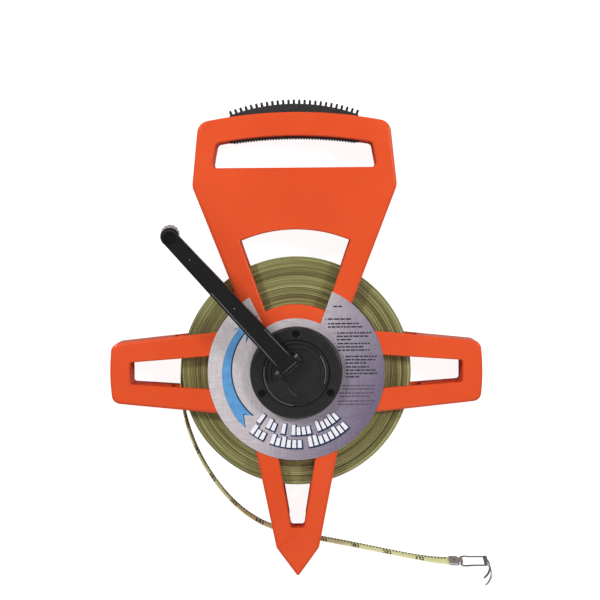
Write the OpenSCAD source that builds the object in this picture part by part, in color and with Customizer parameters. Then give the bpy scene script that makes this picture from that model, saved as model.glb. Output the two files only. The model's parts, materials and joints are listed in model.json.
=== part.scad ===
// Geared open-frame surveyor tape reel, lying on its back.
// Origin: reel axis in the plane of the back face. +Z points to the crank side, +Y to the handle.

/* [Frame] */
// Thickness of the whole frame, over both halves
frame_t = 34; // [30:1:40]
// Wall thickness of the frame mouldings
wall = 3; // [2:0.5:4]
// Half width of the handle panel where it is widest
handle_half_w = 92; // [84:1:96]
// Height of the handle's crown above the reel axis
handle_top = 234; // [225:1:245]
// Reach of the side arms from the reel axis
arm_reach = 168.5; // [155:0.5:180]
// Depth of the spike's point below the reel axis
spike_reach = 187.5; // [175:0.5:200]
// Radius of the hub plate
hub_r = 79.4; // [76:0.1:82]
// Width of the sloped edge around the frame's faces
edge_w = 2.2; // [1:0.1:2.5]
// Width of the sloped edge around the openings
lip_w = 1; // [0.5:0.1:1.5]

/* [Handle grip] */
// Half length of the rubber grip
grip_half_l = 58.5; // [50:0.5:62]
// Height of the grip's back above the handle's crown, at the middle
grip_rise = 8; // [5:0.5:10]
// Radius of the grip's back
grip_back_r = 172; // [150:1:400]
// Number of teeth on the grip
grip_teeth = 25; // [15:2:31]
// Height of one tooth
tooth_h = 3.8; // [2:0.1:5]

/* [Tape] */
// Width of the tape
tape_w = 13; // [10:0.5:16]
// Outer radius of the wound tape
pack_r = 104.5; // [90:0.5:106]
// Radius of the drum that the tape is wound on
drum_r = 47; // [44:1:60]
// Thickness of the free tape
tape_t = 0.5; // [0.4:0.1:0.8]

/* [Gearing] */
// Gear module
gear_m = 1.25; // [1.25:0.01:1.26]
// Teeth on the sun gear, half as many as on the ring gear
sun_z = 24; // [24:12:24]
// Addendum, in modules
addendum = 0.8; // [0.7:0.05:0.85]
// Dedendum, in modules
dedendum = 1.05; // [1:0.05:1.1]
// Play at each tooth flank
flank_play = 0.08; // [0.05:0.01:0.12]
// Radius of the gear cover
cover_r = 41.5; // [41:0.5:43]
// Radius of the turning crank disc
disc_r = 29.5; // [28:0.5:30]

/* [Crank] */
// Distance from the fold hinge to the knob's axis
arm_l = 155.5; // [120:0.5:160]
// Thickness of the crank arm
arm_t = 10; // [8:0.5:10]
// Direction of the stowed arm about the reel axis, in degrees
arm_dir = 131.6; // [0:0.1:359]
// Angle by which the arm stands up from its nest, in degrees
arm_lift = 8; // [0:0.5:12]
// Radius of the knob
knob_r = 8.5; // [7:0.5:10]
// Length of the knob with its collar
knob_l = 28; // [22:1:30]

/* [Hidden] */
$fn = 96;
eps = 0.01;
run = 0.05;
rim_h = 1.4;
opening_half_w = 70;
screw_r = 1.5;
screw_hole_r = 1.55;
screw_way_r = 1.75;
screw_sink_r = 3.4;
screw_boss_r = 4.2;
cover_boss_r = 4;
spindle_boss_r = 12;
bush_r = 16;
bush_z0 = 29.8;
drum_wall = 3.5;
flange_r = drum_r + 9;
flange_t = 1.2;
dog_r = 1.45;
dog_orbit = 9;
planet_pin_top = 42.2;
hinge_pin_l = 26.2;
arm_waist_w = 8.4;
mid_z = frame_t / 2;

orange = [0.91, 0.32, 0.15];
black = [0.13, 0.12, 0.12];
steel = [0.62, 0.6, 0.6];
olive = [0.55, 0.52, 0.31];
tape_yellow = [0.88, 0.86, 0.6];
silver = [0.82, 0.8, 0.82];
knob_grey = [0.68, 0.68, 0.68];
brass = [0.72, 0.6, 0.34];

// Frame layout
crown_r = 416;
crown_c = [0, handle_top - crown_r];
grip_back_c = [0, handle_top + grip_rise - grip_back_r];
bar_h = 21;
grip_low_r = crown_r - bar_h - 1;
window_low = 61.5;
opening_low = 184.5;
leg_root = [46, 50];
side_top = 86;
cavity_r = 115;
cavity_lip = 4;
step_y = -134;
step_z = 14;
grip_z0 = 8;
grip_z1 = 26;
grip_beads = 44;
screw_sites = [[81.6, 200], [-81.6, 200], [70, 152], [-70, 152], [159.5, 0], [-159.5, 0], [0, -163]];

// Hub layout, heights above the back face
spindle_r = 5;
socket_z = 1.5;
washer_z = 8;
drum_z0 = 9.1;
drum_z1 = 24.9;
sun_flange_z = 28;
gear_z0 = 34.3;
gear_z1 = 39.3;
carrier_z = 39.8;
cover_z = 42;
floor_z = 42.9;
spindle_top = 41.6;
cover_screw_r = 35.6;
cover_screw_dirs = [90, 210, 330];
planet_dirs = [30, 150, 270];
collar_r = 13;
label_z = 34.6;

// Direction of the clamp that holds the tape's inner end, in degrees
clamp_dir = 200;

// Gear sizes
sun_pr = gear_m * sun_z / 2;
planet_z = sun_z / 2;
ring_z = sun_z * 2;
planet_orbit = sun_pr * 1.5;
pressure = 20;
flank_steps = 5;
planet_pin_r = 2;

// Crank layout: the hinge stands off the reel axis, on the stowed side
hinge_off = 10;
hinge_z = floor_z + arm_t / 2 + 0.3;
hinge_pin_r = 2.5;
arm_root_w = 9;
arm_tip_w = 7;
knob_bore = 3;
collar_h = 3.5;

// Free tape: the centre line of its width, from the pack, round the reel and along the ground
tail_route = [[-102, 26, 17], [-104.3, 13, 17], [-105.3, 0, 17], [-105.4, -12, 17], [-104.6, -24.3, 16.7],
    [-103.2, -36.5, 16], [-101.1, -47.2, 15], [-98.4, -56.7, 14], [-93.6, -70.1, 12.2], [-87.1, -84.5, 10.2],
    [-80.9, -95.5, 8.8], [-74.7, -105.1, 7.7], [-68, -114, 7], [-60, -122.9, 6.7], [-50.7, -131.4, 6.6],
    [-40, -139, 6.6], [-28.3, -145.2, 6.6], [-14.8, -150, 6.6], [-0.8, -153.6, 6.6], [12.7, -156.7, 6.6],
    [26, -159.5, 6.7], [42, -162.6, 6.9], [58, -165.8, 7.4], [74, -169, 8.1], [90, -172.2, 9],
    [106.2, -175.2, 10.1], [122.2, -177.7, 11.3], [132.4, -178.7, 12.1], [142.8, -179.3, 12.6]];
// Lean of the tape from upright, in degrees: none where it leaves the reel, a twist at the hook
tail_lean = [for (i = [0:len(tail_route) - 1]) i < 6 ? i : i < 26 ? 7 : 7 + (i - 25) * 3];

// Hook layout: its own frame has +X along the bail and +Z along the tape's width
hook_at = [151.1, -179.5, 13];
hook_lean = 16;
clip_turn = -3;
wire_r = 0.75;
wire_bore = 0.83;
bail_l = 23;
bail_half_w = 7.7;
bail_belly = 8.7;
bail_loop = [[0, 0, -bail_half_w], [0, 0, bail_half_w], [3.5, 0, bail_belly], [8.5, 0, bail_half_w],
    [bail_l, 0, bail_half_w], [bail_l, 0, -bail_half_w], [8.5, 0, -bail_half_w], [3.5, 0, -bail_belly]];
bail_swell = [0, 0.03, 0.05, 0.03, 0, 0.03, 0.05, 0.03];
claw_bend_r = 14.6;
claw_sweep = 49;
claw_t = 1.2;
claw_half_w = 6.3;
prong_half_w = 7.4;
prong_l = 24;

// ---- 2D helpers ----

// Points along an arc about c, from angle a0 to angle a1
function arc(c, r, a0, a1, n) = [for (i = [0:n]) c + r * [cos(a0 + (a1 - a0) * i / n), sin(a0 + (a1 - a0) * i / n)]];

function unit(v) = v / norm(v);
function left_of(v) = [-v[1], v[0]];

// Moves every side of an anticlockwise outline inwards by d
function inset(p, d) = [for (i = [0:len(p) - 1])
    let (a = p[(i + len(p) - 1) % len(p)], b = p[i], c = p[(i + 1) % len(p)],
        n1 = left_of(unit(b - a)), n2 = left_of(unit(c - b)))
    b + d * (n1 + n2) / (1 + n1 * n2)];

// Replaces each corner [x, y, r] of an outline by an arc of radius r
function rounded(p, steps = 6) = [for (i = [0:len(p) - 1])
    let (q = [for (k = [-1:1]) let (v = p[(i + k + len(p)) % len(p)]) [v[0], v[1]]],
        r = p[i][2], e1 = unit(q[1] - q[0]), e2 = unit(q[2] - q[1]),
        turn = atan2(e1[0] * e2[1] - e1[1] * e2[0], e1 * e2), side = turn > 0 ? 1 : -1,
        c = q[1] - e1 * r * tan(abs(turn) / 2) + left_of(e1) * r * side,
        start = atan2(e1[1], e1[0]) - 90 * side)
    each (r == 0 ? [q[1]] : arc(c, r, start, start + turn, steps))];

function corners(p, r) = [for (v = p) [v[0], v[1], r]];

// Moves the sides of a corner list inwards by d, keeping its arcs concentric
function shrink(p, d) =
    let (q = inset([for (v = p) [v[0], v[1]]], d), kept = 0.3)
    [for (i = [0:len(p) - 1]) [q[i][0], q[i][1], p[i][2] == 0 ? 0 : max(p[i][2] - d, kept)]];

// Prism of a corner list whose top rim slopes inwards by slope over rim_h
module rim_prism(p, z0, z1, slope, rim_h) {
    low = rounded(p);
    top = rounded(shrink(p, slope));
    n = len(low);
    rings = [for (v = low) [v[0], v[1], z0], for (v = low) [v[0], v[1], z1 - rim_h],
        for (v = top) [v[0], v[1], z1]];
    sides = [for (k = [0:1]) for (i = [0:n - 1])
        [k * n + i, (k + 1) * n + i, (k + 1) * n + (i + 1) % n, k * n + (i + 1) % n]];
    polyhedron(rings, concat([[for (i = [0:n - 1]) i]], sides, [[for (i = [n - 1:-1:0]) 2 * n + i]]));
}

module slab(z0, z1) {
    translate([0, 0, z0])
        linear_extrude(z1 - z0)
            children();
}

module tube(r_out, r_in, z0, z1) {
    difference() {
        translate([0, 0, z0])
            cylinder(r = r_out, h = z1 - z0);
        translate([0, 0, z0 - 1])
            cylinder(r = r_in, h = z1 - z0 + 2);
    }
}

module rod(r, z0, z1) {
    translate([0, 0, z0])
        cylinder(r = r, h = z1 - z0);
}

// Straight wire between two points, running past both by lap
module wire(a, b, r, lap) {
    d = b - a;
    translate(a - unit(d) * lap)
        rotate([0, acos(d[2] / norm(d)), atan2(d[1], d[0])])
            cylinder(r = r, h = norm(d) + 2 * lap, $fn = 32);
}

// ---- Frame outlines ----

function crown(r, half, n) = arc(crown_c, r, 90 - asin(half / r), 90 + asin(half / r), n);

function handle_outline() =
    let (corner_y = crown_c[1] + sqrt(pow(crown_r, 2) - pow(side_top, 2)))
    concat([[-leg_root[0], leg_root[1], 0], [leg_root[0], leg_root[1], 0],
        [handle_half_w, 168, 14], [side_top, corner_y, 11]], corners(crown(crown_r, side_top - 14, 16), 0),
        [[-side_top, corner_y, 11], [-handle_half_w, 168, 14]]);

function arm_outline() =
    concat([[55, -38.5, 0], [arm_reach - 1.6, -27, 8]],
        corners(arc([arm_reach - 183, 0], 183, -5, 5, 6), 0), [[arm_reach - 1.6, 27, 8], [55, 38.5, 0]]);

function spike_outline() =
    [[41.4, -50, 0], [-41.4, -50, 0], [-19.4, -160.7, 6], [0, -spike_reach, 1.5], [19.4, -160.7, 6]];

function finger_opening() =
    let (corner_y = crown_c[1] + sqrt(pow(crown_r - bar_h, 2) - pow(opening_half_w, 2)))
    concat([[-opening_half_w - 4, opening_low, 4], [opening_half_w + 4, opening_low, 4], [opening_half_w, corner_y, 4]],
        corners(crown(crown_r - bar_h, 62, 14), 0), [[-opening_half_w, corner_y, 4]]);

function window() =
    corners(concat(arc([0, 0], 129, 67.4, 112.6, 16), arc([0, 0], window_low, 116.3, 63.7, 12)), 0);

function arm_slot() =
    [[70, -15.7, 0], [150.5, -10, 2.5], [150.5, 10, 2.5], [70, 15.7, 0]];

function spike_slot() =
    [[18, -70, 0], [-18, -70, 0], [-6, -142.6, 2.5], [6, -142.6, 2.5]];

// ---- Frame halves ----

// The front half, without its hub fittings; the back half is its mirror image
module half_shell() {
    difference() {
        union() {
            rim_prism(handle_outline(), mid_z, frame_t, edge_w, rim_h);
            rim_prism(arm_outline(), mid_z, frame_t, edge_w, rim_h);
            rotate([0, 0, 180])
                rim_prism(arm_outline(), mid_z, frame_t, edge_w, rim_h);
            rim_prism(spike_outline(), mid_z, frame_t, edge_w, rim_h);
        }
        shell_pocket();
        openings();
        rod(cavity_r, mid_z - 1, frame_t - wall - cavity_lip);
        rod(hub_r - wall, mid_z - 1, frame_t - wall);
        rod(hub_r - 1, mid_z - 1, frame_t + 1);
        slab(mid_z - 1, grip_z1)
            polygon(grip_outline(0.1));
    }
    difference() {
        rod(hub_r, frame_t - wall - cavity_lip, frame_t);
        rod(hub_r - wall, mid_z, frame_t - wall);
        opening(window());
    }
    window_wall();
    screw_bosses();
}

// Hollow of the shell, between the outer walls and the walls of the openings
module shell_pocket() {
    slab(mid_z - 1, frame_t - wall)
        difference() {
            union() {
                plate(handle_outline(), wall);
                plate(arm_outline(), wall);
                rotate(180)
                    plate(arm_outline(), wall);
                plate(spike_outline(), wall);
            }
            plate(finger_opening(), -wall);
            plate(window(), -wall);
            plate(arm_slot(), -wall);
            rotate(180)
                plate(arm_slot(), -wall);
            plate(spike_slot(), -wall);
        }
}

// Filled 2D shape of a corner list, its sides moved inwards by d
module plate(p, d = 0) {
    polygon(rounded(shrink(p, d)));
}

// One opening through a half, with its sloped lip
module opening(p) {
    slab(mid_z - 1, frame_t + 1)
        plate(p);
    translate([0, 0, 2 * frame_t + 0.1])
        mirror([0, 0, 1])
            rim_prism(shrink(p, -lip_w), frame_t - 1, frame_t + lip_w + 0.1, lip_w, lip_w);
}

module openings() {
    opening(finger_opening());
    opening(window());
    opening(arm_slot());
    rotate([0, 0, 180])
        opening(arm_slot());
    opening(spike_slot());
}

// Lip of the hub plate along the lower edge of the window
module window_wall() {
    slab(frame_t - wall - cavity_lip, frame_t - wall)
        difference() {
            intersection() {
                plate(window(), -wall);
                circle(r = hub_r - 1.5);
            }
            plate(window());
        }
}

module screw_bosses() {
    for (s = screw_sites)
        translate([s[0], s[1], 0])
            rod(screw_boss_r, mid_z, frame_t - wall + eps);
}

module front_frame() {
    color(orange)
        difference() {
            union() {
                half_shell();
                for (a = cover_screw_dirs)
                    rotate([0, 0, a])
                        translate([cover_screw_r, 0, 0])
                            rod(cover_boss_r, 27.5, frame_t - wall + eps);
            }
            rod(bush_r, 20, 40);
            for (a = cover_screw_dirs)
                rotate([0, 0, a])
                    translate([cover_screw_r, 0, 0])
                        rod(screw_hole_r, 26, 40);
            for (s = screw_sites)
                translate([s[0], s[1], 0])
                    rod(screw_hole_r, mid_z - 1, 29);
        }
}

module back_frame() {
    color(orange)
        difference() {
            union() {
                translate([0, 0, frame_t])
                    mirror([0, 0, 1])
                        half_shell();
                rod(spindle_boss_r, wall - eps, washer_z);
                intersection() {
                    slab(step_z, mid_z)
                        difference() {
                            plate(spike_outline());
                            plate(spike_slot());
                        }
                    translate([-50, -200, 0])
                        cube([100, 200 + step_y + wall, frame_t]);
                }
                intersection() {
                    slab(1, mid_z)
                        difference() {
                            plate(spike_outline(), 1);
                            plate(spike_slot());
                        }
                    translate([-50, step_y, 0])
                        cube([100, wall, frame_t]);
                }
            }
            rod(spindle_r, socket_z, 20);
            translate([-50, step_y - 100, -1])
                cube([100, 100, step_z + 1]);
            for (s = screw_sites)
                translate([s[0], s[1], 0]) {
                    rod(screw_way_r, -1, 20);
                    rod(screw_sink_r, -1, 4);
                }
        }
}

// ---- Handle grip ----

// Seat for the grip in the two frame halves
function grip_outline(play) =
    let (half = grip_half_l + play, low = asin(half / grip_low_r), back = asin(half / grip_back_r))
    concat(arc(grip_back_c, grip_back_r, 90 - back, 90 + back, 24),
        arc(crown_c, grip_low_r, 90 + low, 90 - low, 24));

// Comb outline: teeth along the back, beads along the finger side
function comb_outline() =
    let (low = asin(grip_half_l / grip_low_r), back = asin(grip_half_l / grip_back_r),
        span = 2 * asin((grip_half_l - 2) / grip_back_r), half_tooth = asin(1.15 / grip_back_r),
        low_span = 2 * asin((grip_half_l - 4) / grip_low_r),
        on_back = function (rise, a) grip_back_c + (grip_back_r + rise) * [cos(90 + a), sin(90 + a)],
        on_low = function (drop, a) crown_c + (grip_low_r - drop) * [cos(90 + a), sin(90 + a)])
    concat([on_low(0, -low), on_back(-1, -back)],
        [for (i = [0:grip_teeth - 1]) let (c = -span / 2 + span * i / (grip_teeth - 1))
            each [on_back(0, c - half_tooth), on_back(tooth_h - 0.4, c - half_tooth * 0.9),
                on_back(tooth_h, c - half_tooth * 0.55), on_back(tooth_h, c + half_tooth * 0.55),
                on_back(tooth_h - 0.4, c + half_tooth * 0.9), on_back(0, c + half_tooth)]],
        [on_back(-1, back), on_low(0, low)],
        [for (i = [0:grip_beads - 1]) let (c = low_span / 2 - low_span * i / (grip_beads - 1))
            each [for (b = [90:-30:-90])
                on_low(cos(b), c + asin(sin(b) / grip_low_r))]]);

module handle_grip() {
    color(black)
        slab(grip_z0, grip_z1)
            polygon(comb_outline());
}

// ---- Hub ----

module front_label() {
    color(silver)
        slab(frame_t, label_z)
            difference() {
                circle(r = hub_r + 0.6);
                circle(r = cover_r + 0.2);
                difference() {
                    polygon([[-28, 40.5], [21.6, 42], [36.5, 82.5], [0, 100], [-49, 83.2]]);
                    circle(r = 49);
                }
            }
}

module gear_cover() {
    color(black)
        difference() {
            rotate_extrude()
                polygon([[disc_r + 0.1, carrier_z + 0.8], [31.2, carrier_z + 0.8], [31.2, gear_z1],
                    [cover_r - 2, gear_z1], [cover_r - 2, frame_t], [cover_r, frame_t],
                    [cover_r, cover_z - 1.2], [cover_r - 1.2, cover_z], [disc_r + 0.6, cover_z],
                    [disc_r + 0.1, cover_z - 0.5]]);
            for (a = cover_screw_dirs)
                rotate([0, 0, a])
                    translate([cover_screw_r, 0, 0]) {
                        rod(screw_way_r, 30, 50);
                        rod(screw_sink_r, 40.1, 50);
                    }
        }
}

module cover_screws() {
    color(steel)
        for (a = cover_screw_dirs)
            rotate([0, 0, a])
                translate([cover_screw_r, 0, 0])
                    difference() {
                        union() {
                            rod(screw_r, 28.5, 40.5);
                            rod(3.1, 40.1, 41.6);
                        }
                        translate([-2, -0.35, 40.9])
                            cube([4, 0.7, 1]);
                        translate([-0.35, -2, 40.9])
                            cube([0.7, 4, 1]);
                    }
}

module front_bush() {
    color(brass) {
        tube(bush_r, collar_r + run, bush_z0, frame_t);
        tube(bush_r + 2.5, collar_r + run, bush_z0, frame_t - wall);
    }
}

module spindle() {
    color(steel)
        difference() {
            rod(spindle_r, socket_z, spindle_top);
            tube(spindle_r + 1, spindle_r - 0.6, gear_z1 + 0.1, gear_z1 + 0.7);
        }
}

module thrust_washer() {
    color(steel)
        tube(11, spindle_r + run, washer_z, drum_z0 - 0.1);
}

module spindle_clip() {
    color(steel)
        difference() {
            tube(8, spindle_r - 0.6, gear_z1 + 0.1, gear_z1 + 0.7);
            translate([0, -2.2, 0])
                cube([10, 4.4, 60]);
        }
}

module frame_screws() {
    color(steel)
        for (s = screw_sites) {
            lift = s[1] < step_y ? step_z : 4;
            translate([s[0], s[1], 0])
                difference() {
                    union() {
                        rod(screw_r, lift - 0.5, 27);
                        rod(3, lift - 2.2, lift);
                    }
                    translate([-2, -0.35, lift - 3])
                        cube([4, 0.7, 1.8]);
                    translate([-0.35, -2, lift - 3])
                        cube([0.7, 4, 1.8]);
                }
        }
}

// ---- Drum and tape ----

module drum() {
    color(black)
        difference() {
            union() {
                tube(drum_r, drum_r - drum_wall, drum_z0, drum_z1);
                tube(flange_r, drum_r - drum_wall, drum_z0, drum_z0 + flange_t);
                tube(flange_r, drum_r - drum_wall, drum_z1 - flange_t, drum_z1);
                tube(drum_r - 3, 10, 15.5, 18.5);
                tube(12, spindle_r + run, drum_z0, drum_z1);
                for (i = [0:5])
                    rotate([0, 0, 60 * i])
                        translate([11, -1.25, drum_z0 + 1])
                            cube([drum_r - 13, 2.5, drum_z1 - drum_z0 - 2]);
                for (i = [0:2])
                    rotate([0, 0, 120 * i + 60])
                        translate([dog_orbit, 0, 0])
                            rod(dog_r, drum_z1 - 1, drum_z1 + 2.4);
            }
            rotate([0, 0, clamp_dir])
                clamp_block();
        }
}

// Block that the inner end of the tape is clamped with
module clamp_block() {
    translate([drum_r - 2, -5, drum_z0 + 1.4])
        cube([3, 10, tape_w]);
}

module tape_clamp() {
    color(steel)
        rotate([0, 0, clamp_dir])
            intersection() {
                clamp_block();
                rod(drum_r, 0, 40);
            }
}

module tape_pack() {
    color(olive)
        tube(pack_r, drum_r, mid_z - tape_w / 2, mid_z + tape_w / 2);
}

// ---- Gears ----

function inv(a) = tan(a) * 180 / PI - a;

// Half angle of a tooth at radius r, for a tooth that is slack mm thinner on each flank
function tooth_half(r, z, slack) =
    let (pr = gear_m * z / 2, rb = pr * cos(pressure), a = r > rb ? acos(rb / r) : 0)
    90 / z + inv(pressure) - inv(a) - slack / pr * 180 / PI;

// Outline of a spur gear with one tooth centred on +X
function gear_outline(z, r_root, r_tip, slack) =
    let (rb = gear_m * z / 2 * cos(pressure), r0 = max(r_root, rb),
        flank = [for (i = [0:flank_steps]) r0 + (r_tip - r0) * i / flank_steps])
    [for (t = [0:z - 1]) let (c = 360 * t / z) each concat(
        r_root < r0 ? [r_root * [cos(c - tooth_half(r0, z, slack)), sin(c - tooth_half(r0, z, slack))]] : [],
        [for (r = flank) r * [cos(c - tooth_half(r, z, slack)), sin(c - tooth_half(r, z, slack))]],
        [for (i = [flank_steps:-1:0]) let (r = flank[i], h = tooth_half(r, z, slack)) r * [cos(c + h), sin(c + h)]],
        r_root < r0 ? [r_root * [cos(c + tooth_half(r0, z, slack)), sin(c + tooth_half(r0, z, slack))]] : [])];

module ring_gear() {
    pr = gear_m * ring_z / 2;
    color(knob_grey)
        difference() {
            rod(cover_r - 2.1, frame_t, gear_z1);
            slab(frame_t - 1, gear_z1 + 1)
                rotate(180 / ring_z)
                    polygon(gear_outline(ring_z, pr - addendum * gear_m, pr + dedendum * gear_m, -flank_play));
            for (a = cover_screw_dirs)
                rotate([0, 0, a])
                    translate([cover_screw_r, 0, 0])
                        rod(screw_way_r, 30, 50);
        }
}

module sun_gear() {
    color(knob_grey)
        difference() {
            union() {
                slab(gear_z0, gear_z1)
                    polygon(gear_outline(sun_z, sun_pr - dedendum * gear_m, sun_pr + addendum * gear_m, flank_play));
                rod(collar_r, sun_flange_z - 1, gear_z0);
                rod(15, drum_z1, sun_flange_z);
            }
            rod(spindle_r + run, 20, 50);
            for (i = [0:2])
                rotate([0, 0, 120 * i + 60])
                    translate([dog_orbit, 0, 0])
                        rod(dog_r + run, drum_z1 - 1, sun_flange_z);
        }
}

module planet_gear(i) {
    pr = gear_m * planet_z / 2;
    color(knob_grey)
        rotate([0, 0, planet_dirs[i]])
            translate([planet_orbit, 0, 0])
                difference() {
                    slab(gear_z0, gear_z1)
                        rotate(180 / planet_z)
                            polygon(gear_outline(planet_z, pr - dedendum * gear_m,
                                pr + addendum * gear_m, flank_play));
                    rod(planet_pin_r + run, 30, 50);
                }
}

module planet_pins() {
    color(steel)
        for (a = planet_dirs)
            rotate([0, 0, a])
                translate([planet_orbit, 0, 0])
                    rod(planet_pin_r, gear_z0, planet_pin_top);
}

// ---- Crank ----

module crank_disc() {
    lug_in = arm_root_w + 0.5;
    lug_w = 3.6;
    lug_r = 5.2;
    color(black)
        difference() {
            union() {
                rotate_extrude()
                    polygon([[0, carrier_z], [30.9, carrier_z], [30.9, carrier_z + 0.6], [disc_r, carrier_z + 0.6],
                        [disc_r, 43.6], [disc_r - 0.8, 44.4], [disc_r - 2.4, 44.4], [disc_r - 3.2, floor_z + 0.6],
                        [disc_r - 7, floor_z + 0.6], [disc_r - 7.6, floor_z], [0, floor_z]]);
                rotate([0, 0, arm_dir])
                    for (s = [0, 1])
                        mirror([0, s, 0]) {
                            translate([hinge_off, lug_in + lug_w, hinge_z])
                                rotate([90, 0, 0])
                                    cylinder(r = lug_r, h = lug_w);
                            translate([hinge_off - lug_r, lug_in, floor_z - 1])
                                cube([2 * lug_r, lug_w, hinge_z - floor_z + 1]);
                        }
            }
            rotate([0, 0, arm_dir])
                translate([-40, -arm_root_w - 0.5, floor_z])
                    cube([80, 2 * arm_root_w + 1, 20]);
            rotate([0, 0, arm_dir])
                translate([hinge_off, 20, hinge_z])
                    rotate([90, 0, 0])
                        cylinder(r = hinge_pin_r, h = 40);
            rod(spindle_r + run, 30, spindle_top + 0.2);
            rod(9, 30, gear_z1 + 1.2);
            for (a = planet_dirs)
                rotate([0, 0, a])
                    translate([planet_orbit, 0, 0])
                        rod(planet_pin_r, 30, planet_pin_top);
        }
}

// Places children in the arm's own frame: origin on the hinge, +X to the knob
module on_arm() {
    rotate([0, 0, arm_dir])
        translate([hinge_off, 0, hinge_z])
            rotate([0, -arm_lift, 0])
                children();
}

function arm_plan(play) = [[0, -arm_root_w + play], [arm_l * 0.25, -arm_waist_w + play], [arm_l, -arm_tip_w + play],
    [arm_l, arm_tip_w - play], [arm_l * 0.25, arm_waist_w - play], [0, arm_root_w - play]];

module hinge_pin() {
    color(steel)
        rotate([0, 0, arm_dir])
            translate([hinge_off, hinge_pin_l / 2, hinge_z])
                rotate([90, 0, 0])
                    cylinder(r = hinge_pin_r, h = hinge_pin_l);
}

module crank_arm() {
    rib = 2.4;
    recess = 0.7;
    dimples_at = [25, 83.5];
    color(black)
        on_arm()
            difference() {
                union() {
                    slab(-arm_t / 2, arm_t / 2)
                        polygon(arm_plan(0));
                    translate([0, arm_root_w, 0])
                        rotate([90, 0, 0])
                            cylinder(r = arm_t / 2, h = 2 * arm_root_w);
                    translate([arm_l, 0, 0])
                        rod(arm_tip_w, -arm_t / 2, arm_t / 2);
                }
                slab(arm_t / 2 - recess, arm_t)
                    difference() {
                        polygon(arm_plan(1.6));
                        translate([-5, -20])
                            square([14, 40]);
                        translate([arm_l, 0])
                            circle(r = 7.5);
                    }
                slab(-arm_t, arm_t / 2 - 3.4)
                    difference() {
                        polygon(arm_plan(rib));
                        translate([-5, -20])
                            square([15, 40]);
                        translate([arm_l, 0])
                            circle(r = arm_tip_w + 1.5);
                    }
                translate([0, 20, 0])
                    rotate([90, 0, 0])
                        cylinder(r = hinge_pin_r + run, h = 40);
                translate([arm_l, 0, 0]) {
                    rod(knob_bore, -20, 20);
                    rod(5.2, arm_t / 2 - 2, 20);
                }
                for (x = dimples_at)
                    translate([arm_l - x, 0, 0])
                        rod(1.1, arm_t / 2 - 1.6, 20);
            }
}

module knob_axle() {
    color(steel)
        on_arm()
            translate([arm_l, 0, 0]) {
                rod(knob_bore, -arm_t / 2 - knob_l + 1.2, arm_t / 2 - 1);
                rod(5, arm_t / 2 - 2, arm_t / 2 - 0.6);
                rod(4.5, -arm_t / 2 - knob_l + 0.4, -arm_t / 2 - knob_l + 1.6);
            }
}

module crank_knob() {
    flutes = 14;
    z_low = -arm_t / 2 - knob_l;
    z_high = -arm_t / 2 - collar_h - 0.3;
    color(knob_grey)
        on_arm()
            translate([arm_l, 0, 0])
                difference() {
                    rotate_extrude()
                        polygon([[knob_bore + run, z_low], [knob_r - 1.5, z_low], [knob_r, z_low + 1.5],
                            [knob_r, z_high - 2], [knob_r - 1, z_high], [knob_bore + run, z_high]]);
                    for (i = [0:flutes - 1])
                        rotate([0, 0, 360 * i / flutes])
                            translate([knob_r + 0.5, 0, 0])
                                rod(1.1, z_low - 1, z_high - 3);
                    rod(4.8, z_low - 1, z_low + 1.9);
                }
}

module knob_collar() {
    scallops = 14;
    color(black)
        on_arm()
            translate([arm_l, 0, 0])
                difference() {
                    tube(knob_r - 0.3, knob_bore + run, -arm_t / 2 - collar_h - 0.3, -arm_t / 2 - 0.3);
                    for (i = [0:scallops - 1])
                        rotate([0, 0, 360 * (i + 0.5) / scallops])
                            translate([knob_r + 0.2, 0, 0])
                                rod(1.2, -20, -arm_t / 2 - 1.3);
                }
}

// ---- Free tape and its hook ----

module tape_tail() {
    n = len(tail_route);
    run_dir = [for (i = [0:n - 1]) unit(tail_route[min(i + 1, n - 1)] - tail_route[max(i - 1, 0)])];
    across = [for (i = [0:n - 1]) unit([run_dir[i][1], -run_dir[i][0], 0])];
    up = [for (i = [0:n - 1]) across[i] * sin(tail_lean[i]) + [0, 0, cos(tail_lean[i])]];
    face = [for (i = [0:n - 1]) across[i] * cos(tail_lean[i]) - [0, 0, sin(tail_lean[i])]];
    points = [for (i = [0:n - 1]) for (k = [[-1, -1], [1, -1], [1, 1], [-1, 1]])
        tail_route[i] + face[i] * k[0] * tape_t / 2 + up[i] * k[1] * tape_w / 2];
    sides = [for (i = [0:n - 2]) for (k = [0:3])
        let (a = 4 * i + k, b = 4 * i + (k + 1) % 4)
        each [[a, b + 4, b], [a, a + 4, b + 4]]];
    last = 4 * (n - 1);
    color(tape_yellow)
        polyhedron(points, concat([[0, 1, 2], [0, 2, 3]], sides,
            [[last, last + 2, last + 1], [last, last + 3, last + 2]]));
}

// Places children in the hook's frame: origin on the bail's hinge
module on_hook(turn = 0) {
    translate(hook_at)
        rotate([hook_lean, 0, 0])
            rotate([0, 0, turn])
                children();
}

module tail_clip() {
    color(steel)
        on_hook(clip_turn)
            difference() {
                union() {
                    tube(2, wire_bore, -4.6, 4.6);
                    for (s = [-1, 1])
                        translate([0, s * 0.75, 0])
                            rotate([90, 0, 0])
                                slab(-0.45, 0.45)
                                    polygon([[-11, -6.9], [-3.5, -6.9], [-2.2, -4.6], [-1.2, -4.6], [-1.2, 4.6],
                                        [-2.2, 4.6], [-3.5, 6.9], [-11, 6.9]]);
                }
                rotate([90, 0, 0])
                    translate([-6.5, 0, -5])
                        cylinder(r = 1.6, h = 10);
                rod(wire_bore, -10, 10);
            }
}

module clip_rivet() {
    color(brass)
        on_hook(clip_turn)
            translate([-6.5, 0, 0])
                rotate([90, 0, 0]) {
                    difference() {
                        rod(1.6, -1.5, 1.5);
                        slab(-0.4, 0.4)
                            square([4, 4], center = true);
                    }
                }
}

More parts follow.
